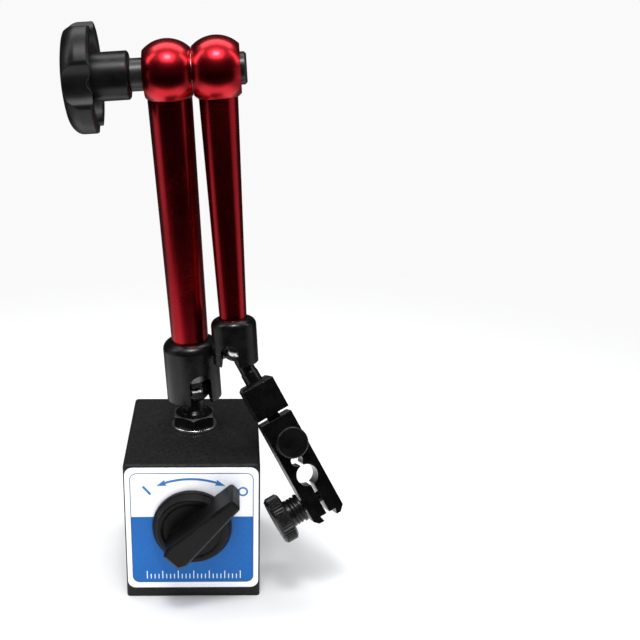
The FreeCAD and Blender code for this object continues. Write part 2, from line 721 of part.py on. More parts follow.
def lock_knob():
    """Hollow-backed hand knob with a crowned face and four scallops."""
    hub, hub_end, rim = dim.hub_radius, -dim.hub_end, dim.knob_radius
    face, floor, rim_inner = -dim.knob_face, -dim.recess_floor, -dim.rim_inner
    bore, blind, recess = dim.insert_radius, -dim.knob_blind, dim.recess_outer
    edge, rim_edge = 0.6, 0.8
    turned = revolve("lock_knob_turned", [
        (bore, hub_end), (bore, blind), (0, blind), (0, face),
        (dim.knob_crown, face + dim.crown_rise, dim.crown_radius, 1),
        (rim, face + dim.corner_rise, dim.knob_corner, 1),
        (rim, rim_inner - rim_edge), (rim - rim_edge, rim_inner),
        (recess + edge, rim_inner), (recess, rim_inner - edge), (recess - 0.8, floor),
        (dim.recess_inner, floor), (hub, floor + 1.5),
        (hub, hub_end - edge), (hub - edge, hub_end)])
    outline = doc.addObject("Part::Feature", "lock_knob_outline")
    outline.Shape = lobed_prism(
        radius=rim.value, scallop=dim.scallop_radius.value, orbit=dim.scallop_orbit.value,
        corner=dim.lobe_round.value, count=4, bottom=-50.0, top=0.0)
    piece("lock_knob", common("lock_knob_common", turned, outline), ELBOW)


def lock_knob_insert():
    bore, radius, bevel = dim.bolt_bore, dim.insert_radius, 0.5
    low, high = -dim.insert_end, -dim.hub_end
    piece("lock_knob_insert", revolve("insert_body", [
        (bore, low), (radius, low), (radius, high), (bore + bevel, high),
        (bore, high - bevel)]), ELBOW)


# ----------------------------------------------------------- indicator clamp
def upper_ball_stud():
    foot, top, seat = -dim.yoke_thread_z, -dim.yoke_top, -dim.upper_ball_flat - dim.fine_fit
    thread, collar, neck = dim.yoke_thread, dim.upper_neck + 0.2, dim.upper_neck - 0.1
    spigot, end = dim.upper_spigot, -0.6
    piece("upper_ball_stud", revolve("ball_stud_body", [
        (0, foot), (thread, foot), (thread, top), (collar, top), (collar, -11.0),
        (neck, -10.2), (neck, seat), (spigot, seat), (spigot, end), (0, end)]), CLAMP)


def clamp_yoke():
    """Block under the ball stud with a tongue that reaches into the bar."""
    half, half_thick = dim.bar_half, dim.bar_thick / 2
    block = pad("yoke_block", [
        (half, -half_thick), (half, half_thick), (-half, half_thick), (-half, -half_thick)],
        dim.yoke_low - dim.yoke_top, -dim.yoke_low)
    chamfer_top(block, -dim.yoke_top, 1.1)
    tongue = box(
        "tongue", dim.tongue_width, dim.tongue_front + dim.tongue_back,
        dim.tongue_end - dim.yoke_low + 1,
        (-dim.tongue_width / 2, -dim.tongue_front, -dim.tongue_end))
    piece("clamp_yoke", cut(
        "yoke_cut", fuse("yoke_solid", block, tongue),
        cylinder("yoke_thread_hole", dim.yoke_thread, 12, (0, 0, -dim.yoke_thread_z)),
        cylinder("yoke_pin_hole", dim.pivot_radius, 20,
                 (-10, dim.pivot_y, -dim.pivot_z), TO_X)),
        CLAMP)


def pivot_pin():
    """Cross pin, set back a little from both sides of the bar."""
    inset = 0.1
    left_end = CLAMP.multVec(vector(-dim.bar_half + inset, dim.pivot_y, -dim.pivot_z))
    piece("pivot_pin",
          cylinder("pivot_pin_body", dim.pivot_radius, dim.bar_half * 2 - inset * 2),
          Placement(left_end, CLAMP.Rotation.multiply(TO_X)))


def clamp_bar():
    """Slit bar with a stem bore and a dovetail notch in its lower end."""
    half, top, end = dim.bar_half, -dim.bar_top, -dim.bar_end
    mouth, floor, floor_z = dim.dove_mouth / 2, dim.dove_floor / 2, end + dim.dove_depth
    left_bevel, right_bevel = 1.6, 2.0
    # Outline seen from the front: x is width, y is length
    outline = pad("bar_outline", [
        (half, top), (-half, top), (-half, end + left_bevel), (-half + left_bevel, end),
        (-mouth, end), (-floor, floor_z), (floor, floor_z), (mouth, end),
        (half - right_bevel, end), (half, end + right_bevel)], dim.bar_thick)
    outline.Placement = Placement(vector(0, dim.bar_thick / 2, 0), TO_MINUS_Y)
    pocket_width = dim.tongue_width + dim.fit
    slit, stem_z = dim.slit, dim.stem_z
    piece("clamp_bar", cut(
        "bar_cut", outline,
        box("bar_pocket", pocket_width, dim.pocket_front + dim.pocket_back,
            dim.pocket_end - dim.bar_top + 1,
            (-pocket_width / 2, -dim.pocket_front, -dim.pocket_end)),
        cylinder("bar_pin_hole", dim.pivot_radius + dim.fine_fit, 20,
                 (-10, dim.pivot_y, -dim.pivot_z), TO_X),
        cylinder("bar_stem", dim.stem_bore, 20, (0, -10, -stem_z), TO_Y),
        cylinder("bar_relief", dim.relief_radius, 20,
                 (-dim.relief_x, -10, -dim.relief_z), TO_Y),
        box("bar_slit_short", slit, 20, stem_z - dim.relief_z, (-slit / 2, -10, -stem_z)),
        box("bar_slit_long", slit, 20, dim.bar_end - stem_z, (-slit / 2, -10, end)),
        cylinder("bar_fine_hole", dim.fine_radius + dim.fine_fit, 8,
                 (0, -8, -dim.fine_z), TO_Y),
        cylinder("bar_thumb_hole", dim.thumb_thread + dim.fine_fit, 20,
                 (-10, 0, -dim.thumb_z), TO_X)),
        CLAMP)


def ribbed_head(name, radius, depth, count, length, bevel, lift):
    """Straight-knurled disc, ribs along Z, both rims bevelled."""
    radius, length, lift = number(radius), number(length), number(lift)
    step = 2 * math.pi / count
    # A rib's flat top takes 0.38 of the pitch; the groove's bottom is at 0.69
    rib = ((0.0, radius), (0.38, radius), (0.69, radius - depth))
    points = []
    for k in range(count):
        for share, distance in rib:
            angle = step * (k + share)
            points.append(Vector(distance * math.cos(angle), distance * math.sin(angle), 0))
    points.append(points[0])
    star = Part.Face(Part.makePolygon(points)).extrude(Vector(0, 0, length))
    section = [Vector(x, 0, z) for x, z in (
        (0, 0), (radius - bevel, 0), (radius, bevel), (radius, length - bevel),
        (radius - bevel, length), (0, length), (0, 0))]
    drum = Part.Face(Part.makePolygon(section)).revolve(Vector(0, 0, 0), Vector(0, 0, 1), 360)
    head = doc.addObject("Part::Feature", name)
    head.Shape = star.common(drum)
    head.Placement = Placement(Vector(0, 0, lift), Rotation())
    return head


def fine_adjust_screw():
    """Ribbed head, short neck and a shank whose tip bears on the yoke's
    tongue. Local Z points out of the clamp's front, zero at that face."""
    neck_end = dim.fine_neck_length
    head = ribbed_head("fine_head_shape", dim.fine_head, depth=0.3, count=40,
                       length=dim.fine_head_out - neck_end, bevel=0.5, lift=neck_end)
    tip = -(dim.bar_thick / 2 - dim.tongue_front - dim.fine_fit)
    radius, neck, neck_start, bevel, overlap = dim.fine_radius, dim.fine_neck, 0.1, 0.4, 0.6
    shank = revolve("fine_shank", [
        (0, tip), (radius - bevel, tip), (radius, tip + bevel), (radius, neck_start),
        (neck, neck_start), (neck, neck_end + overlap), (0, neck_end + overlap)])
    face = CLAMP.multVec(vector(0, -dim.bar_thick / 2, -dim.fine_z))
    piece("fine_adjust_screw", fuse("fine_all", shank, head),
          Placement(face, CLAMP.Rotation.multiply(TO_MINUS_Y)))


# Turned steps of the clamp screw's hub: inset from its radius, height above its foot
HUB_STEPS = (
    (0.3, 0.0), (0.0, 0.3), (0.0, 1.1), (0.7, 1.4), (0.7, 1.7), (0.25, 2.1), (0.25, 2.7),
    (0.7, 3.0), (0.25, 3.4), (0.25, 4.0), (0.7, 4.3), (0.25, 4.7),
)


def clamp_screw():
    """Ribbed head, turned hub and a shank across both jaws. Local Z points
    out of the clamp's left side, zero at that side."""
    hub, foot = dim.thumb_hub, dim.thumb_gap
    head_low = foot + dim.thumb_hub_length
    head = ribbed_head("thumb_head_shape", dim.thumb_head, depth=0.4, count=48,
                       length=dim.thumb_head_length, bevel=0.9, lift=head_low)
    radius, tip, bevel, overlap = dim.thumb_thread, -dim.bar_half - dim.thumb_tip, 0.5, 0.6
    shank = revolve(
        "thumb_shank",
        [(0, tip), (radius - bevel, tip), (radius, tip + bevel), (radius, foot)]
        + [(hub - inset, foot + height) for inset, height in HUB_STEPS]
        + [(hub - HUB_STEPS[-1][0], head_low + overlap), (0, head_low + overlap)])
    side = CLAMP.multVec(vector(-dim.bar_half, 0, -dim.thumb_z))
    piece("clamp_screw", fuse("thumb_all", shank, head),
          Placement(side, CLAMP.Rotation.multiply(TO_MINUS_X)))


# -------------------------------------------------------------------- output
def check():
    """Stop if an object failed or a piece is not one valid solid."""
    bad = ["%s %s" % (obj.Name, obj.State) for obj in doc.Objects
           if "Invalid" in obj.State or "Error" in obj.State]
    for label, obj in PIECES:
        shape = obj.Shape
        if (shape.isNull() or not shape.isValid() or len(shape.Solids) != 1
                or shape.Volume <= 0):
            bad.append("%s is not one valid solid" % label)
    if bad:
        raise SystemExit("failed: " + "; ".join(bad))


for build in (
        block_pieces, label_plate, bore_closures, stop_pin,
        rotor_spindle, rotor_core, switch_knob, knob_grub_screw,
        stud_washer, base_stud, lower_arm,
        draw_bolt, pressure_sleeve, elbow_washer, lock_knob, lock_knob_insert,
        upper_arm, upper_ball_stud, clamp_yoke, pivot_pin, clamp_bar,
        fine_adjust_screw, clamp_screw):
    build()
doc.recompute()
check()
os.makedirs("parts", exist_ok=True)
for label, obj in PIECES:
    obj.Shape.exportStep("parts/%s.step" % label)
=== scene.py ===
"""Looks of the magnetic base stand: finishes, printed face plate, soft studio and camera.

Everything is in metres, in the CAD model's own frame: +Z up, -Y out of the
face that carries the switch, origin at the centre of the block's bottom face.
The print on the face plate is drawn in millimetres.
"""

import json
import math
from functools import cached_property

import bmesh
import bpy
from mathutils import Matrix, Vector


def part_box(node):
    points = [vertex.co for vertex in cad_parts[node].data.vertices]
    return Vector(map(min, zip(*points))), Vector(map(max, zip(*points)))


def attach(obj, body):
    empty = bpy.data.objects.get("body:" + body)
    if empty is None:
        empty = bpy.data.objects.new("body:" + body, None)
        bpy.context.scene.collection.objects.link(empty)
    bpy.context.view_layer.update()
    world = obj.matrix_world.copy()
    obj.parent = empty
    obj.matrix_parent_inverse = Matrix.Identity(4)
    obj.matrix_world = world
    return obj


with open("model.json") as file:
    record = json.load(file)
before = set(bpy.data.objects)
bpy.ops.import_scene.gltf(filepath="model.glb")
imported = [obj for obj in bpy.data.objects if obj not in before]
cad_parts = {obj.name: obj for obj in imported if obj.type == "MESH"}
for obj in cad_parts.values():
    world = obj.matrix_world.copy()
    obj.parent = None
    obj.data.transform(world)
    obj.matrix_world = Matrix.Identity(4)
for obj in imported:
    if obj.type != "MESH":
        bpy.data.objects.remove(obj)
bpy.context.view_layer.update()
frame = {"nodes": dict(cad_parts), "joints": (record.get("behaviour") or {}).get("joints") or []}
NODES = frame["nodes"]
JOINTS = {joint["name"]: joint for joint in frame["joints"]}
MM = 0.001
scene = bpy.context.scene


def joint_line(name):
    """A joint's point and unit axis."""
    joint = JOINTS[name]
    return Vector(joint["pos_m"]), Vector(joint["axis"]).normalized()


# Lines the parts are turned about: (point, axis)
UP = (0, 0, 1)
ELBOW = joint_line("elbow")
LOWER = joint_line("lower_roll")
UPPER = joint_line("upper_swivel")
SWITCH = joint_line("magnet_switch")
FINE_SCREW = joint_line("fine_adjust_turn")
FINE_PIVOT = joint_line("fine_adjust_flex")
THUMB_SCREW = joint_line("clamp_screw_turn")
CLAMP = joint_line("clamp_roll")
STUD = (Vector((0.0, 0.004, 0.055)), UP)


# ------------------------------------------------------------------ node trees
MIX_SOCKETS = {"FLOAT": (2, 3, 0), "VECTOR": (4, 5, 1), "RGBA": (6, 7, 2)}  # start, end, result
SURFACE_INPUTS = {
    "base": "Base Color", "metallic": "Metallic", "rough": "Roughness", "normal": "Normal",
    "specular": "Specular IOR Level", "coat": "Coat Weight", "coat_rough": "Coat Roughness",
    "coat_normal": "Coat Normal"}


class Shader:
    """The node tree of a material or world, built as a chain of small calls."""

    def __init__(self, owner):
        self.owner = owner
        owner.use_nodes = True
        self.tree = owner.node_tree
        self.tree.nodes.clear()

    @cached_property
    def at(self):
        return self.new("ShaderNodeTexCoord").outputs["Object"]

    @cached_property
    def geometry(self):
        return self.new("ShaderNodeNewGeometry").outputs

    def new(self, kind, **settings):
        node = self.tree.nodes.new(kind)
        for key, value in settings.items():
            setattr(node, key, value)
        return node

    def put(self, socket, value):
        """Links or sets a socket; None leaves it alone, three-part colours become opaque."""
        if value is None:
            return
        if isinstance(value, bpy.types.NodeSocket):
            self.tree.links.new(value, socket)
            return
        if socket.type == "RGBA" and len(value) == 3:
            value = (*value, 1.0)
        socket.default_value = value

    def fill(self, node, values):
        """Puts values on a node's inputs, by input name or number."""
        for key, value in values.items():
            self.put(node.inputs[key], value)
        return node.outputs

    def math(self, operation, a, b=None):
        return self.fill(self.new("ShaderNodeMath", operation=operation), {0: a, 1: b})[0]

    def mul(self, first, *others):
        for other in others:
            first = self.math("MULTIPLY", first, other)
        return first

    def add(self, a, b):
        return self.math("ADD", a, b)

    def weigh(self, a, b, weights):
        return self.add(self.mul(a, weights[0]), self.mul(b, weights[1]))

    def centred(self, value, amount):
        """A 0..1 value as a variation of the given amount about zero."""
        return self.mul(self.math("SUBTRACT", value, 0.5), amount)

    def length(self, x, y):
        return self.math("SQRT", self.add(self.mul(x, x), self.mul(y, y)))

    def vector_math(self, operation, a, b):
        return self.fill(self.new("ShaderNodeVectorMath", operation=operation), {0: a, 1: b})

    def dot(self, a, b):
        return self.vector_math("DOT_PRODUCT", a, b)["Value"]

    def vector(self, x, y, z):
        return self.fill(self.new("ShaderNodeCombineXYZ"), {0: x, 1: y, 2: z})[0]

    def split(self, vector):
        return self.fill(self.new("ShaderNodeSeparateXYZ"), {0: vector})

    def noise(self, vector, scale=1.0, detail=2.0, rough=0.5, distort=0.0):
        return self.fill(self.new("ShaderNodeTexNoise"), {
            "Vector": vector, "Scale": scale, "Detail": detail, "Roughness": rough,
            "Distortion": distort})["Fac"]

    def streaks(self, axes, scales, detail=2.0, rough=0.5):
        """Noise with its own scale along each of three coordinates."""
        scaled = [axis if scale == 1 else self.mul(axis, scale)
                  for axis, scale in zip(axes, scales)]
        return self.noise(self.vector(*scaled), detail=detail, rough=rough)

    def ramp(self, value, over=(0.3, 0.7), to=(0.0, 1.0), smooth=True):
        """Maps the range `over` to the range `to`, clamped; the middle of a noise by default."""
        node = self.new("ShaderNodeMapRange", clamp=True,
                        interpolation_type="SMOOTHSTEP" if smooth else "LINEAR")
        return self.fill(node, {"Value": value, "From Min": over[0], "From Max": over[1],
                                "To Min": to[0], "To Max": to[1]})["Result"]

    def mix(self, factor, start, end, kind="RGBA"):
        first, second, result = MIX_SOCKETS[kind]
        node = self.new("ShaderNodeMix", data_type=kind)
        return self.fill(node, {0: factor, first: start, second: end})[result]

    def mix_shader(self, factor, start, end):
        return self.fill(self.new("ShaderNodeMixShader"), {0: factor, 1: start, 2: end})[0]

    def axis_coordinates(self, line):
        """Coordinates about a line: two across it, one along it, and the radius."""
        origin, axis = line
        along = Vector(axis).normalized()
        across = Vector((0, 1, 0)).cross(along).normalized()
        offset = self.vector_math("SUBTRACT", self.at, tuple(origin))["Vector"]
        u, v, w = [self.dot(offset, tuple(direction))
                   for direction in (across, along.cross(across), along)]
        return u, v, w, self.length(u, v)

    def rounded(self, radius):
        """Normal with edges rounded over radius."""
        return self.fill(self.new("ShaderNodeBevel", samples=4), {"Radius": radius})["Normal"]

    def edges(self, rounded_normal):
        """Mask of the rounded edges."""
        facing = self.dot(rounded_normal, self.geometry["Normal"])
        return self.ramp(facing, over=(0.995, 0.90))

    def bump(self, height, depth, strength, normal=None):
        return self.fill(self.new("ShaderNodeBump"), {
            "Strength": strength, "Distance": depth, "Height": height,
            "Normal": normal})["Normal"]

    def output(self, shader, kind="ShaderNodeOutputMaterial"):
        self.fill(self.new(kind), {"Surface": shader})
        return self.owner

    def surface(self, **inputs):
        named = {SURFACE_INPUTS[key]: value for key, value in inputs.items()}
        return self.output(self.fill(self.new("ShaderNodeBsdfPrincipled"), named)[0])


def new_material(name):
    return Shader(bpy.data.materials.new(name))


# ------------------------------------------------------------------- finishes
def paint_material():
    """Fine wrinkle paint over the steel block; the bottom face is ground bright."""
    m = new_material("wrinkle_paint")
    grain = m.noise(m.at, scale=1500, detail=3.0, rough=0.62, distort=0.4)
    pebble = m.fill(m.new("ShaderNodeTexVoronoi", feature="SMOOTH_F1"),
                    {"Vector": m.at, "Scale": 1250})["Distance"]
    broad = m.noise(m.at, scale=55, detail=3.0, rough=0.55)
    specks = m.ramp(m.noise(m.at, scale=2600, detail=1.0), over=(0.58, 0.74))
    soft = m.rounded(radius=0.35 * MM)
    edge = m.edges(soft)
    x, y, z = m.split(m.at)
    # the middle plane, where the two pole blocks meet, keeps its sharp edges
    off_seam = m.ramp(m.math("ABSOLUTE", x), over=(1.6 * MM, 3.0 * MM))
    normal = m.mix(off_seam, m.geometry["Normal"], soft, kind="VECTOR")
    normal = m.bump(m.weigh(grain, pebble, weights=(0.7, -0.55)),
                    depth=0.075 * MM, strength=0.9, normal=normal)

    tone = m.mix(m.ramp(grain, over=(0.32, 0.72)),
                 start=(0.0032, 0.0032, 0.0034), end=(0.0095, 0.0094, 0.0090))
    tone = m.mix(m.mul(specks, 0.55), tone, end=(0.027, 0.026, 0.024))
    tone = m.mix(m.mul(m.ramp(broad, over=(0.35, 0.7)), 0.35), tone,
                 end=(0.0085, 0.0082, 0.0078))
    patchy = m.ramp(m.noise(m.at, scale=420, detail=4.0, rough=0.7), over=(0.50, 0.68))
    tone = m.mix(m.mul(edge, off_seam, patchy, 0.55), tone, end=(0.075, 0.073, 0.070))

    facing_down = m.ramp(m.split(m.geometry["True Normal"])[2], over=(-0.8, -0.95))
    under = m.mul(m.ramp(z, over=(0.06 * MM, 0.02 * MM), smooth=False), facing_down)
    lines = m.streaks((x, y, z), scales=(60, 5200, 1), detail=3.0, rough=0.6)
    steel = m.mix(lines, start=(0.34, 0.34, 0.345), end=(0.52, 0.52, 0.53))
    paint_rough = m.ramp(m.noise(m.at, scale=700), to=(0.50, 0.68))
    rough = m.mix(under, paint_rough, m.ramp(lines, to=(0.26, 0.40)), kind="FLOAT")
    return m.surface(base=m.mix(under, tone, steel), metallic=under, rough=rough,
                     specular=0.26, normal=normal)


def oxide_material(name, line, turned=1.0, dark=1.0, chamfer=None):
    """Satin black oxide on turned or milled steel; sharp edges rub slightly bright.

    turned: depth of the tool marks; dark: factor on the base colour.
    chamfer: radii in millimetres between which upward-sloping faces get a painted highlight, a
    lighter tone standing in for the light they catch from above."""
    m = new_material(name)
    u, v, w, radius = m.axis_coordinates(line)
    rings = m.streaks((w, radius, u), scales=(5200, 5200, 25))
    blotch = m.noise(m.at, scale=170, detail=4.0, rough=0.6, distort=0.3)
    fine = m.noise(m.at, scale=3800)
    soft = m.rounded(radius=0.22 * MM)
    scuff = m.ramp(m.noise(m.at, scale=520, detail=5.0, rough=0.7), over=(0.47, 0.66))
    tone = m.mix(m.ramp(blotch, over=(0.32, 0.70)),
                 start=[dark * value for value in (0.0026, 0.0027, 0.0029)],
                 end=[dark * value for value in (0.0062, 0.0062, 0.0062)])
    tone = m.mix(m.mul(m.edges(soft), scuff, 0.50), tone, end=(0.13, 0.125, 0.12))
    if chamfer:
        inner, outer = chamfer
        fade = 0.2
        facing = m.dot(m.geometry["True Normal"], tuple(line[1]))
        between = m.mul(m.ramp(radius, over=((inner - fade) * MM, inner * MM)),
                        m.ramp(radius, over=((outer + fade) * MM, outer * MM)))
        # painted highlight: upward-sloping chamfer faces are lightened, standing in for the
        # overhead light they catch
        chamfer_highlight_mask = m.mul(m.ramp(facing, over=(0.30, 0.42)), m.ramp(facing, over=(0.985, 0.96)),
                     between, m.ramp(fine, over=(0.25, 0.6), to=(0.55, 0.95)))
        tone = m.mix(chamfer_highlight_mask, tone, end=(0.105, 0.105, 0.108))
    rough = m.add(m.ramp(blotch, to=(0.23, 0.31)), m.centred(fine, amount=0.10))
    height = m.weigh(rings, fine, weights=(0.6 * turned, 0.4))
    normal = m.bump(height, depth=0.010 * MM, strength=0.55, normal=soft)
    return m.surface(base=tone, metallic=0.35, rough=rough, specular=0.5, normal=normal)


def anodised_material(name, line):
    """Glossy red anodised aluminium, finely turned."""
    m = new_material(name)
    u, v, w, radius = m.axis_coordinates(line)
    rings = m.streaks((w, radius, u), scales=(6500, 900, 12), rough=0.55)
    cloud = m.noise(m.at, scale=70, detail=3.0)
    fine = m.noise(m.at, scale=5200, detail=1.0)
    soft = m.rounded(radius=0.25 * MM)
    tone = m.mix(m.ramp(cloud), start=(0.43, 0.0006, 0.0085), end=(0.54, 0.0016, 0.0125))
    tone = m.mix(m.mul(m.edges(soft), 0.30), tone, end=(0.66, 0.06, 0.075))
    rough = m.add(m.ramp(cloud, to=(0.245, 0.280)), m.centred(rings, amount=0.03))
    normal = m.bump(m.weigh(rings, fine, weights=(0.7, 0.3)),
                    depth=0.0008 * MM, strength=0.25, normal=soft)
    return m.surface(base=tone, metallic=1.0, rough=rough, normal=normal,
                     coat=0.38, coat_rough=0.24, coat_normal=soft)


def dark_steel_material(name, line, low=0.030, high=0.055, marks=1.0):
    """Dark turned steel, low to high in brightness, with tool marks round its axis."""
    m = new_material(name)
    u, v, w, radius = m.axis_coordinates(line)
    rings = m.streaks((w, radius, u), scales=(3300, 3300, 15), detail=3.0, rough=0.6)
    blotch = m.noise(m.at, scale=210, detail=3.0, rough=0.55)
    soft = m.rounded(radius=0.2 * MM)
    tone = m.mix(m.ramp(rings), start=(low, low, low * 1.03), end=(high, high, high * 1.02))
    tone = m.mix(m.mul(m.edges(soft), 0.5), tone, end=(0.20, 0.20, 0.20))
    normal = m.bump(rings, depth=0.012 * MM, strength=0.7 * marks, normal=soft)
    return m.surface(base=tone, metallic=0.75, rough=m.ramp(blotch, to=(0.30, 0.42)),
                     specular=0.5, normal=normal)


def metal_material(name, line, tarnished, clean, rough, depth=0.006, ring_scale=4200):
    """Bright machined metal: fine rings depth mm deep, slight tarnish and scratches."""
    m = new_material(name)
    u, v, w, radius = m.axis_coordinates(line)
    rings = m.streaks((w, radius, u), scales=(ring_scale, ring_scale, 14), rough=0.55)
    haze = m.noise(m.at, scale=330, detail=4.0, rough=0.6)
    scratch = m.ramp(m.streaks((u, v, w), scales=(2600, 190, 190), rough=0.6),
                     over=(0.62, 0.74))
    soft = m.rounded(radius=0.15 * MM)
    tone = m.mix(m.ramp(haze, over=(0.3, 0.75)), clean, tarnished)
    roughness = m.add(m.ramp(haze, to=rough), m.mul(scratch, 0.08))
    normal = m.bump(m.add(rings, m.mul(scratch, 0.4)),
                    depth=depth * MM, strength=0.5, normal=soft)
    return m.surface(base=tone, metallic=1.0, rough=roughness, normal=normal)


def moulded_material(name, low, high, rough, grain=2300, depth=0.014, specular=0.5):
    """Moulded surface: fine grain depth mm deep, faint flow marks and rubbed edges."""
    m = new_material(name)
    texture = m.noise(m.at, scale=grain, detail=3.0, rough=0.6)
    flow = m.noise(m.at, scale=90, detail=3.0, rough=0.6, distort=0.8)
    rub = m.ramp(m.noise(m.at, scale=640, detail=4.0, rough=0.65), over=(0.45, 0.66))
    soft = m.rounded(radius=0.3 * MM)
    tone = m.mix(m.ramp(flow), low, high)
    tone = m.mix(m.mul(m.edges(soft), rub, 0.35), tone, end=(0.075, 0.075, 0.076))
    roughness = m.add(m.ramp(flow, to=rough), m.centred(texture, amount=0.12))
    normal = m.bump(texture, depth=depth * MM, strength=0.8, normal=soft)
    return m.surface(base=tone, metallic=0.0, rough=roughness, specular=specular,
                     normal=normal)


def plate_material():
    """White lacquered aluminium face plate with a clear gloss and a greyer cut edge."""
    m = new_material("face_plate")
    drift = m.noise(m.at, scale=38, distort=0.5)
    peel = m.noise(m.at, scale=1500)
    soft = m.rounded(radius=0.12 * MM)
    tone = m.mix(m.ramp(drift, over=(0.35, 0.65)),
                 start=(0.88, 0.90, 0.97), end=(0.93, 0.92, 0.96))
    tone = m.mix(m.mul(m.edges(soft), 0.55), tone, end=(0.56, 0.56, 0.60))
    normal = m.bump(peel, depth=0.006 * MM, strength=0.35, normal=soft)
    return m.surface(base=tone, rough=m.ramp(peel, to=(0.24, 0.32)), specular=0.5,
                     normal=normal, coat=0.25, coat_rough=0.15)


def ink_material(name, low, high):
    """Screen-printed ink: slight mottle and a little orange peel."""
    m = new_material(name)
    mottle = m.noise(m.at, scale=820, detail=4.0, rough=0.6)
    drift = m.noise(m.at, scale=60)
    uneven = m.weigh(mottle, drift, weights=(0.6, 0.4))
    tone = m.mix(m.ramp(uneven, over=(0.35, 0.65)), low, high)
    normal = m.bump(mottle, depth=0.006 * MM, strength=0.35)
    return m.surface(base=tone, rough=m.ramp(mottle, to=(0.36, 0.46)), specular=0.22,
                     normal=normal)


def dress(node, material):
    """Gives a CAD node its material."""
    materials = NODES[node].data.materials
    materials.clear()
    materials.append(material)


BRASS = dict(tarnished=(0.42, 0.29, 0.11), clean=(0.66, 0.48, 0.20), rough=(0.22, 0.36))
STEEL = dict(tarnished=(0.30, 0.30, 0.31), clean=(0.46, 0.46, 0.47), rough=(0.24, 0.36))
CHROME = dict(tarnished=(0.34, 0.34, 0.35), clean=(0.60, 0.60, 0.61), rough=(0.12, 0.24),
              depth=0.008, ring_scale=2600)
WASHER = dict(tarnished=(0.66, 0.66, 0.67), clean=(0.90, 0.90, 0.91), rough=(0.20, 0.30),
              depth=0.010, ring_scale=5200)
FERRITE = dict(low=(0.020, 0.020, 0.022), high=(0.040, 0.039, 0.041), rough=(0.55, 0.7),
               grain=1700, depth=0.03)
LOCK_KNOB = dict(low=(0.0030, 0.0030, 0.0032), high=(0.0070, 0.0070, 0.0073),
                 rough=(0.29, 0.38), specular=0.26)
SWITCH_KNOB = dict(low=(0.0022, 0.0022, 0.0022), high=(0.0048, 0.0048, 0.0045),
                   rough=(0.33, 0.42), specular=0.15)
STEEL_PARTS = (
    ("stop_pin", SWITCH), ("rotor_spindle", SWITCH),
    ("rotor_pole_shoe_upper", SWITCH), ("rotor_pole_shoe_lower", SWITCH),
    ("lower_pressure_pad", LOWER), ("lower_push_rod", LOWER),
    ("upper_pressure_pad", UPPER), ("upper_push_rod", UPPER),
    ("elbow_washer", ELBOW), ("pivot_pin", FINE_PIVOT))
# node, material name, line, settings
OXIDE_PARTS = (
    ("base_stud", "stud_oxide", STUD, dict(turned=0.8, dark=1.3, chamfer=(5.6, 9.0))),
    ("lower_socket", "lower_socket_oxide", LOWER, {}),
    ("upper_socket", "upper_socket_oxide", UPPER, {}),
    ("upper_ball_stud", "ball_stud_oxide", CLAMP, {}),
    ("clamp_yoke", "yoke_oxide", CLAMP, dict(turned=0.2, dark=0.55)),
    ("clamp_bar", "bar_oxide", CLAMP, dict(turned=0.2, dark=0.55)),
    ("fine_adjust_screw", "fine_screw_oxide", FINE_SCREW, dict(dark=0.8)),
    ("clamp_screw", "thumb_screw_oxide", THUMB_SCREW, dict(dark=1.3)),
    ("knob_grub_screw", "grub_oxide", SWITCH, {}))


def dress_parts():
    paint = paint_material()
    for node in ("pole_block_left", "pole_block_right", "rear_plug",
                 "upper_brass_spacer", "lower_brass_spacer"):
        dress(node, paint)
    dress("front_bush", metal_material("machined_brass", SWITCH, **BRASS))
    dress("lock_knob_insert", metal_material("insert_brass", ELBOW, **BRASS))
    for node, line in STEEL_PARTS:
        dress(node, metal_material(node + "_steel", line, **STEEL))
    dress("rotor_magnet", moulded_material("sintered_ferrite", **FERRITE))
    dress("stud_washer", metal_material("turned_washer", STUD, **WASHER))
    for node, line in (("lower_ball", LOWER), ("upper_ball", UPPER)):
        dress(node, metal_material(node + "_chrome", (line[0], UP), **CHROME))
    for node, name, line, settings in OXIDE_PARTS:
        dress(node, oxide_material(name, line, **settings))
    dress("draw_bolt", dark_steel_material("bolt_steel", ELBOW, low=0.022, high=0.040, marks=0.6))
    dress("pressure_sleeve", dark_steel_material("sleeve_steel", ELBOW))
    dress("lower_arm_tube", anodised_material("lower_arm_anodised", LOWER))
    dress("upper_arm_tube", anodised_material("upper_arm_anodised", UPPER))
    dress("lock_knob", moulded_material("lock_knob_moulded", **LOCK_KNOB))
    dress("switch_knob", moulded_material("switch_knob_moulded", **SWITCH_KNOB))
    dress("label_plate", plate_material())


dress_parts()


# ------------------------------------------------- softened edges on CAD nodes
# node: bevel width, mm
EDGE_WIDTHS = {
    "lower_socket": 0.20, "upper_socket": 0.18, "base_stud": 0.12, "stud_washer": 0.34,
    "clamp_yoke": 0.25, "clamp_bar": 0.22, "fine_adjust_screw": 0.06, "clamp_screw": 0.06,
    "draw_bolt": 0.12, "pressure_sleeve": 0.10, "lower_arm_tube": 0.12,
    "upper_arm_tube": 0.12, "switch_knob": 0.30, "lock_knob": 0.35,
    "upper_ball_stud": 0.10, "label_plate": 0.05}


def shade_group():
    """Geometry nodes that shade all faces and edges smooth."""
    group = bpy.data.node_groups.new("shade_smooth", "GeometryNodeTree")
    for direction in ("INPUT", "OUTPUT"):
        group.interface.new_socket("Geometry", in_out=direction,
                                   socket_type="NodeSocketGeometry")
    start = group.nodes.new("NodeGroupInput")
    end = group.nodes.new("NodeGroupOutput")
    socket = start.outputs[0]
    for domain in ("FACE", "EDGE"):
        smooth = group.nodes.new("GeometryNodeSetShadeSmooth")
        smooth.domain = domain
        group.links.new(socket, smooth.inputs[0])
        socket = smooth.outputs[0]
    group.links.new(socket, end.inputs[0])
    return group


def modify(node, name, kind, **settings):
    modifier = NODES[node].modifiers.new(name, kind)
    for key, value in settings.items():
        setattr(modifier, key, value)


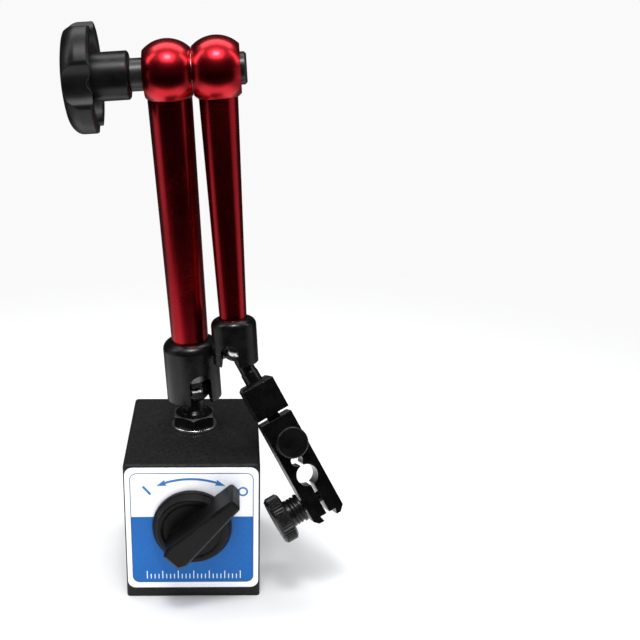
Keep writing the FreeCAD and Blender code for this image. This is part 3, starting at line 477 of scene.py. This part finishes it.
def soften(node, width, smooth_group):
    """Breaks a CAD node's sharp edges by width, without touching its own mesh."""
    modify(node, "weld", "WELD", merge_threshold=2e-6)
    modify(node, "smooth", "NODES", node_group=smooth_group)
    modify(node, "dissolve", "DECIMATE", decimate_type="DISSOLVE",
           angle_limit=math.radians(0.4))
    modify(node, "bevel", "BEVEL", width=width, segments=2, limit_method="ANGLE",
           angle_limit=math.radians(32.0), use_clamp_overlap=True, miter_outer="MITER_ARC")
    modify(node, "normals", "WEIGHTED_NORMAL", mode="FACE_AREA_WITH_ANGLE", weight=80,
           keep_sharp=False)


SMOOTH_GROUP = shade_group()
for part, edge_width in EDGE_WIDTHS.items():
    soften(part, edge_width * MM, SMOOTH_GROUP)


# ------------------------------------------- printed face plate, in mm as (x, z)
FACE_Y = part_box("label_plate")[0].y      # front of the plate, metres
SWITCH_Z = SWITCH[0].z / MM
FRAME_X = 22.6                           # half width of the frame line
FRAME_LOW, FRAME_HIGH = 6.3, 52.0
FRAME_CORNER = 2.7
FRAME_LINE = 0.32
FIELD_INSET = 0.22                       # field edge, in from the frame's outer edge
FIELD_TOP = 34.1
BUSH_OPENING = 13.7                      # radius


def polar(x, z, radius, angle):
    turn = math.radians(angle)
    return x + radius * math.cos(turn), z + radius * math.sin(turn)


def arc(x, z, radius, start, end, steps):
    """Points of an arc between two angles in degrees."""
    return [polar(x, z, radius, start + (end - start) * i / steps) for i in range(steps + 1)]


def rounded_box(x0, z0, x1, z1, radius, steps):
    """Closed outline with rounded corners."""
    return (arc(x1 - radius, z0 + radius, radius, -90, 0, steps)
            + arc(x1 - radius, z1 - radius, radius, 0, 90, steps)
            + arc(x0 + radius, z1 - radius, radius, 90, 180, steps)
            + arc(x0 + radius, z0 + radius, radius, 180, 270, steps))


def placed(points, centre_x, centre_z, tilt):
    """Points turned by tilt degrees and moved to a centre."""
    c, s = math.cos(math.radians(tilt)), math.sin(math.radians(tilt))
    return [(centre_x + c * x - s * z, centre_z + s * x + c * z) for x, z in points]


def print_layer(name, loops, material, proud=0.035, sink=0.012):
    """Ink on the plate: closed outlines made a thin solid, from sink mm below the
    plate's face to proud mm above it."""
    curve = bpy.data.curves.new(name, "CURVE")
    curve.dimensions = "2D"
    curve.fill_mode = "BOTH"
    curve.extrude = (proud + sink) / 2
    for loop in loops:
        spline = curve.splines.new("POLY")
        spline.points.add(len(loop) - 1)
        for point, (x, z) in zip(spline.points, loop):
            point.co = (x, z, 0.0, 1.0)
        spline.use_cyclic_u = True
    outline = bpy.data.objects.new(name + "_outline", curve)
    scene.collection.objects.link(outline)
    bpy.context.view_layer.update()
    depsgraph = bpy.context.evaluated_depsgraph_get()
    mesh = bpy.data.meshes.new_from_object(outline.evaluated_get(depsgraph))
    bpy.data.objects.remove(outline)
    # stand the flat outline up, facing -Y
    middle = FACE_Y - (proud - sink) / 2 * MM
    mesh.transform(Matrix(((MM, 0, 0, 0), (0, 0, -MM, middle), (0, MM, 0, 0), (0, 0, 0, 1))))
    bm = bmesh.new()
    bm.from_mesh(mesh)
    bmesh.ops.remove_doubles(bm, verts=bm.verts, dist=1e-7)
    bmesh.ops.recalc_face_normals(bm, faces=bm.faces)
    bm.to_mesh(mesh)
    bm.free()
    mesh.name = name
    mesh.materials.clear()
    mesh.materials.append(material)
    layer = bpy.data.objects.new(name, mesh)
    scene.collection.objects.link(layer)
    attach(layer, "magnetic_base")


def frame_outline(inset):
    return rounded_box(-FRAME_X + inset, FRAME_LOW + inset, FRAME_X - inset,
                       FRAME_HIGH - inset, FRAME_CORNER - inset, steps=14)


def blue_field():
    """Field with rounded lower corners, open where the switch bush comes through."""
    side = FRAME_X - FIELD_INSET
    corner = FRAME_CORNER - FIELD_INSET
    corner_x, corner_z = FRAME_X - FRAME_CORNER, FRAME_LOW + FRAME_CORNER
    dip = math.degrees(math.asin((FIELD_TOP - SWITCH_Z) / BUSH_OPENING))
    return (arc(-corner_x, corner_z, corner, 180, 270, steps=14)
            + arc(corner_x, corner_z, corner, 270, 360, steps=14)
            + [(side, FIELD_TOP)]
            + arc(0, SWITCH_Z, BUSH_OPENING, dip, -180 - dip, steps=96)
            + [(-side, FIELD_TOP)])


def two_way_arrow():
    """Curved two-headed arrow above the switch."""
    x, z, radius = -0.35, 19.8, 29.75
    half_shaft, half_head = 0.44, 1.25
    left_tip, right_tip = 115.0, 64.9        # degrees
    head, barb = 6.7, 0.5                    # head length and barb sweep, degrees
    left, right = left_tip - head, right_tip + head
    return (arc(x, z, radius + half_shaft, left, right, steps=40)
            + [polar(x, z, radius + half_head, right + barb),
               polar(x, z, radius, right_tip),
               polar(x, z, radius - half_head, right + barb)]
            + arc(x, z, radius - half_shaft, right, left, steps=40)
            + [polar(x, z, radius - half_head, left - barb),
               polar(x, z, radius, left_tip),
               polar(x, z, radius + half_head, left - barb)])


def scale_marks():
    """Row of tick marks along the foot of the blue field, every fourth one tall."""
    pitch, middle, foot, half_width = 1.45, 0.3, 7.9, 0.17
    loops = []
    for i in range(-12, 13):
        x = pitch * i + middle
        height = 3.3 if i % 4 == 0 else 2.0
        loops.append(rounded_box(x - half_width, foot, x + half_width, foot + height,
                                 radius=0.08, steps=3))
    return loops


def print_plate():
    blue = ink_material("blue_ink", low=(0.0050, 0.108, 0.385), high=(0.0085, 0.126, 0.430))
    line = ink_material("line_ink", low=(0.070, 0.105, 0.230), high=(0.095, 0.135, 0.270))
    mark = ink_material("mark_ink", low=(0.030, 0.170, 0.440), high=(0.040, 0.200, 0.500))
    pale = ink_material("pale_ink", low=(0.60, 0.80, 0.97), high=(0.72, 0.88, 1.00))
    print_layer("plate_frame_line", [frame_outline(0), frame_outline(FRAME_LINE)], line)
    print_layer("plate_blue_field", [blue_field()], blue)
    print_layer("plate_turn_arrow", [two_way_arrow()], mark)
    # on mark: a bar, off mark: a ring
    bar = rounded_box(-0.46, -2.2, 0.46, 2.2, radius=0.3, steps=6)
    print_layer("plate_on_mark", [placed(bar, centre_x=-16.4, centre_z=45.0, tilt=40)], mark)
    ring = [arc(18.7, 44.4, radius, 0, 354, steps=59) for radius in (1.90, 1.22)]
    print_layer("plate_off_mark", ring, mark)
    print_layer("plate_scale_marks", scale_marks(), pale, proud=0.065, sink=-0.020)


print_plate()


# ---------------------------------------------------------------- studio
BACKDROP = (0.95, 0.95, 0.95)
FLOOR_SEEN = 0.70      # floor albedo to the camera, so the lit floor meets the backdrop
FLOOR_ALBEDO = 0.85    # floor albedo to all other rays
FLOOR_Z = -0.00015
FLOOR_RINGS = (0.08, 0.16, 0.3, 0.6, 1.2, 2.5, 5.0, 9.0)
FLOOR_SPOKES = 64


def floor_material():
    """Pale floor that turns into backdrop far out and fades in reflections."""
    m = new_material("studio_floor")
    light = m.new("ShaderNodeLightPath").outputs
    position = m.geometry["Position"]
    x, y, z = m.split(position)
    far = m.mul(m.ramp(m.length(x, y), over=(0.10, 0.42)), light["Is Camera Ray"])
    # what reflections keep: front fade, back fade, side fade
    kept = m.mul(m.ramp(y, over=(-0.20, -0.115)),
                 m.ramp(y, over=(0.05, 0.16), to=(1.0, 0.10)),
                 m.ramp(m.math("ABSOLUTE", x), over=(0.10, 0.26), to=(1.0, 0.30)))
    lost = m.mul(light["Is Glossy Ray"], m.math("SUBTRACT", 1.0, kept))
    mirrored = m.math("SUBTRACT", 1.0, lost)
    grain = m.ramp(m.noise(position, scale=60), over=(0.2, 0.8), to=(0.994, 1.006))
    seen = m.mix(light["Is Camera Ray"], FLOOR_ALBEDO, FLOOR_SEEN, kind="FLOAT")
    value = m.mul(grain, seen, mirrored)
    lit = m.fill(m.new("ShaderNodeBsdfDiffuse"), {"Color": m.vector(value, value, value)})[0]
    glow = m.fill(m.new("ShaderNodeEmission"), {"Color": BACKDROP})[0]
    return m.output(m.mix_shader(far, lit, glow))


def stage_floor():
    """Round floor of concentric rings."""
    bm = bmesh.new()
    centre = bm.verts.new((0, 0, FLOOR_Z))
    previous = None
    for radius in FLOOR_RINGS:
        ring = []
        for i in range(FLOOR_SPOKES):
            turn = 2 * math.pi * i / FLOOR_SPOKES
            ring.append(bm.verts.new((radius * math.cos(turn), radius * math.sin(turn), FLOOR_Z)))
        for i in range(FLOOR_SPOKES):
            k = (i + 1) % FLOOR_SPOKES
            if previous is None:
                bm.faces.new((centre, ring[i], ring[k]))
            else:
                bm.faces.new((previous[i], ring[i], ring[k], previous[k]))
        previous = ring
    mesh = bpy.data.meshes.new("studio_floor")
    bm.to_mesh(mesh)
    bm.free()
    floor = bpy.data.objects.new("studio_floor", mesh)
    scene.collection.objects.link(floor)
    mesh.materials.append(floor_material())


def stage_world():
    """Pale backdrop to the camera, soft fill for diffuse light, dark surroundings mirrored."""
    scene.world = bpy.data.worlds.new("studio_world")
    m = Shader(scene.world)
    light = m.new("ShaderNodeLightPath").outputs

    def background(colour, strength):
        return m.fill(m.new("ShaderNodeBackground"), {"Color": colour, "Strength": strength})[0]

    seen = background(BACKDROP, strength=1.0)
    fill = background((0.95, 0.97, 1.0), strength=0.70)
    mirrored = background((1, 1, 1), strength=0.030)
    unseen = m.mix_shader(light["Is Glossy Ray"], fill, mirrored)
    m.output(m.mix_shader(light["Is Camera Ray"], unseen, seen), "ShaderNodeOutputWorld")


# name, centre, aim, size, radiance; the overhead ones aim a hair towards -Y to fix their turn
SOFTBOXES = (
    ("top_strip", (0.0, 0.19, 0.69), (0.0, 0.1899, 0.0), (0.70, 0.22), 3.6),
    ("front_box", (0.0, -0.31, 0.69), (0.0, -0.3101, 0.0), (0.46, 0.34), 2.8),
    ("front_core", (0.0, -0.27, 0.685), (0.0, -0.2701, 0.0), (0.15, 0.11), 44.0),
    ("ceiling", (0.0, -0.02, 0.95), (0.0, -0.0201, 0.0), (1.5, 1.1), 0.55),
    ("left_strip", (-0.60, -0.06, 0.70), (0.0, -0.06, 0.62), (0.16, 0.62), 4.0),
    ("right_strip", (0.60, -0.06, 0.70), (0.0, -0.06, 0.62), (0.16, 0.62), 3.4),
    # low side panels: the bright lines down the tubes
    ("left_panel", (-0.46, -0.05, 0.14), (0.0, -0.05, 0.14), (0.34, 0.28), 0.36),
    ("right_panel", (0.46, -0.05, 0.14), (0.0, -0.05, 0.14), (0.34, 0.28), 0.40))


def softbox(name, centre, aim, size, radiance):
    """Rectangular soft light of a given brightness."""
    light = bpy.data.lights.new(name, "AREA")
    light.shape = "RECTANGLE"
    light.size, light.size_y = size
    light.energy = radiance * math.pi * size[0] * size[1]
    box = bpy.data.objects.new(name, light)
    scene.collection.objects.link(box)
    box.location = centre
    box.rotation_mode = "QUATERNION"
    box.rotation_quaternion = (Vector(aim) - Vector(centre)).to_track_quat("-Z", "Y")
    box.visible_camera = False


def make_camera():
    """Camera in front of the switch face, looking back (+Y) and down."""
    yaw, pitch, roll = 0.0137, 0.3491, 0.0028      # radians
    look = Vector((math.sin(yaw) * math.cos(pitch), math.cos(yaw) * math.cos(pitch),
                   -math.sin(pitch)))
    level = Vector((math.cos(yaw), -math.sin(yaw), 0.0))
    upright = level.cross(look)
    right = math.cos(roll) * level + math.sin(roll) * upright
    up = -math.sin(roll) * level + math.cos(roll) * upright
    lens = bpy.data.cameras.new("camera")
    lens.sensor_fit = "HORIZONTAL"
    lens.sensor_width = 36.0
    lens.lens = 64.7004375
    lens.shift_x = 0.109375
    lens.clip_start, lens.clip_end = 0.01, 50.0
    camera = bpy.data.objects.new("camera", lens)
    scene.collection.objects.link(camera)
    pose = Matrix((right, up, -look)).transposed().to_4x4()
    pose.translation = Vector((0.01598, -0.40321, 0.24666))
    camera.matrix_world = pose
    scene.camera = camera


stage_floor()
stage_world()
for entry in SOFTBOXES:
    softbox(*entry)
make_camera()
scene.view_settings.view_transform = "Standard"
scene.view_settings.look = "None"
scene.view_settings.exposure = 0.0
scene.view_settings.gamma = 1.0
